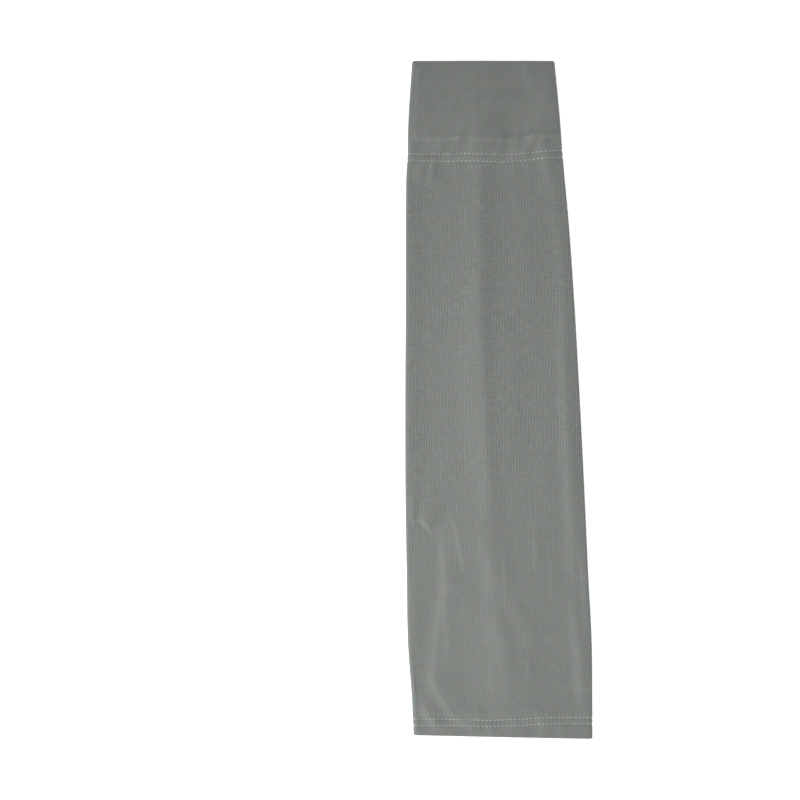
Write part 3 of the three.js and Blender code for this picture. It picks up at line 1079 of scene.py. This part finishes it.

# %% [markdown]
# ## Fitting the pieces to the frame
#
# Each cloth piece rides on the root and stands for the plain solid in its place, which is hidden. The
# stitching rides on the root too, and the length round the tube is worked out at the cuff, along the
# body and at the hem.

# %% Ride and replace, and measure round the tube
WIDE_STATION = 350
HEM_MIDDLE = 390
GIRTH_SAMPLES = 15
for piece, node, slot in (
    (sleeve_body, "sleeve_body", "knit"),
    (wrist_cuff, "wrist_cuff", "doubled_knit"),
    (arm_hem, "arm_hem", "doubled_knit"),
):
    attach(piece, "root")
    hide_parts(node)
for piece in (cuff_stitching, hem_stitching):
    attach(piece, "root")


def girth(station):
    """Length round the tube at a station, in metres."""
    places = place_on_tube(columns, np.full_like(columns, station), 0)
    return float(np.linalg.norm(np.diff(places, axis=0), axis=1).sum())


body_width = girth(WIDE_STATION)
girths = [girth(station) for station in np.linspace(cuff_seam, hem_seam, GIRTH_SAMPLES)]
cuff_width = girth(cuff_seam)
hem_width = girth(HEM_MIDDLE)

# %% [markdown]
# ## Stage, light and camera
#
# The sleeve lies on a plain white table that glows a little, so that it stays white without a shadow. One
# soft lamp shines from the left, with plenty of light from all round, so that only the folds draw faint
# shades. The lamp's cone fades towards its edge, which leaves the wrist a little darker than the arm end.
# The camera looks straight down from far away, so the sleeve shows its true outline.

# %% Stage
TABLE_SIZE = 8
TABLE_LEVEL = -0.0002
bpy.ops.object.select_all(action="DESELECT")
bpy.ops.mesh.primitive_plane_add(size=TABLE_SIZE, location=(0, 0, TABLE_LEVEL))
floor = bpy.context.object
floor.name = "floor"
white = bpy.data.materials.new("white_table")
white.use_nodes = True
table_finish = white.node_tree.nodes["Principled BSDF"].inputs
table_finish["Base Color"].default_value = (0.85, 0.85, 0.85, 1)
table_finish["Roughness"].default_value = 0.9
table_finish["Emission Color"].default_value = (1, 1, 1, 1)
table_finish["Emission Strength"].default_value = 0.6
floor.data.materials.append(white)
print(f"table {TABLE_SIZE} m wide")

# %% Light
world = bpy.data.worlds.new("studio")
bpy.context.scene.world = world
world.use_nodes = True
world.node_tree.nodes["Background"].inputs["Color"].default_value = (1, 1, 1, 1)
world.node_tree.nodes["Background"].inputs["Strength"].default_value = 0.72


def soft_light(name, place, aim, cone, size, power):
    """A soft lamp that looks at a point and fades towards the edge of its cone."""
    bpy.ops.object.light_add(type="SPOT", location=place)
    lamp = bpy.context.object
    lamp.name = name
    lamp.data.spot_size = math.radians(cone)
    lamp.data.spot_blend = 1.0
    lamp.data.shadow_soft_size = size
    lamp.data.energy = power
    away = np.array(place) - np.array(aim)
    tilt = math.acos(away[2] / np.linalg.norm(away))
    lamp.rotation_euler = (tilt, 0, math.atan2(away[0], -away[1]))
    return lamp


key = soft_light("key", place=(-0.85, -0.55, 0.75), aim=(0, -0.08, 0), cone=41, size=0.25, power=47.7)
print(f"{key.name} light of {key.data.energy:.1f} W")

# %% Camera
# The photo's scale is in millimetres per pixel, and the frame's x of 0 lies at one of its pixel columns.
SENSOR_WIDTH = 36
PHOTO_PIXEL = 0.5912
IMAGE_PIXELS = 800
SLEEVE_CENTRE_PIXEL = 498.5
CAMERA_HEIGHT = 3.0
CLOTH_LEVEL = 0.005
frame_width = PHOTO_PIXEL * IMAGE_PIXELS * MM
view_x = (IMAGE_PIXELS / 2 - SLEEVE_CENTRE_PIXEL) * PHOTO_PIXEL * MM
bpy.ops.object.camera_add(location=(view_x, 0, CAMERA_HEIGHT), rotation=(0, 0, 0))
camera = bpy.context.object
camera.data.sensor_width = SENSOR_WIDTH
camera.data.lens = SENSOR_WIDTH * (CAMERA_HEIGHT - CLOTH_LEVEL) / frame_width
bpy.context.scene.camera = camera
bpy.context.scene.view_settings.view_transform = "Standard"
print(f"camera {CAMERA_HEIGHT} m up, {camera.data.lens:.0f} mm lens")
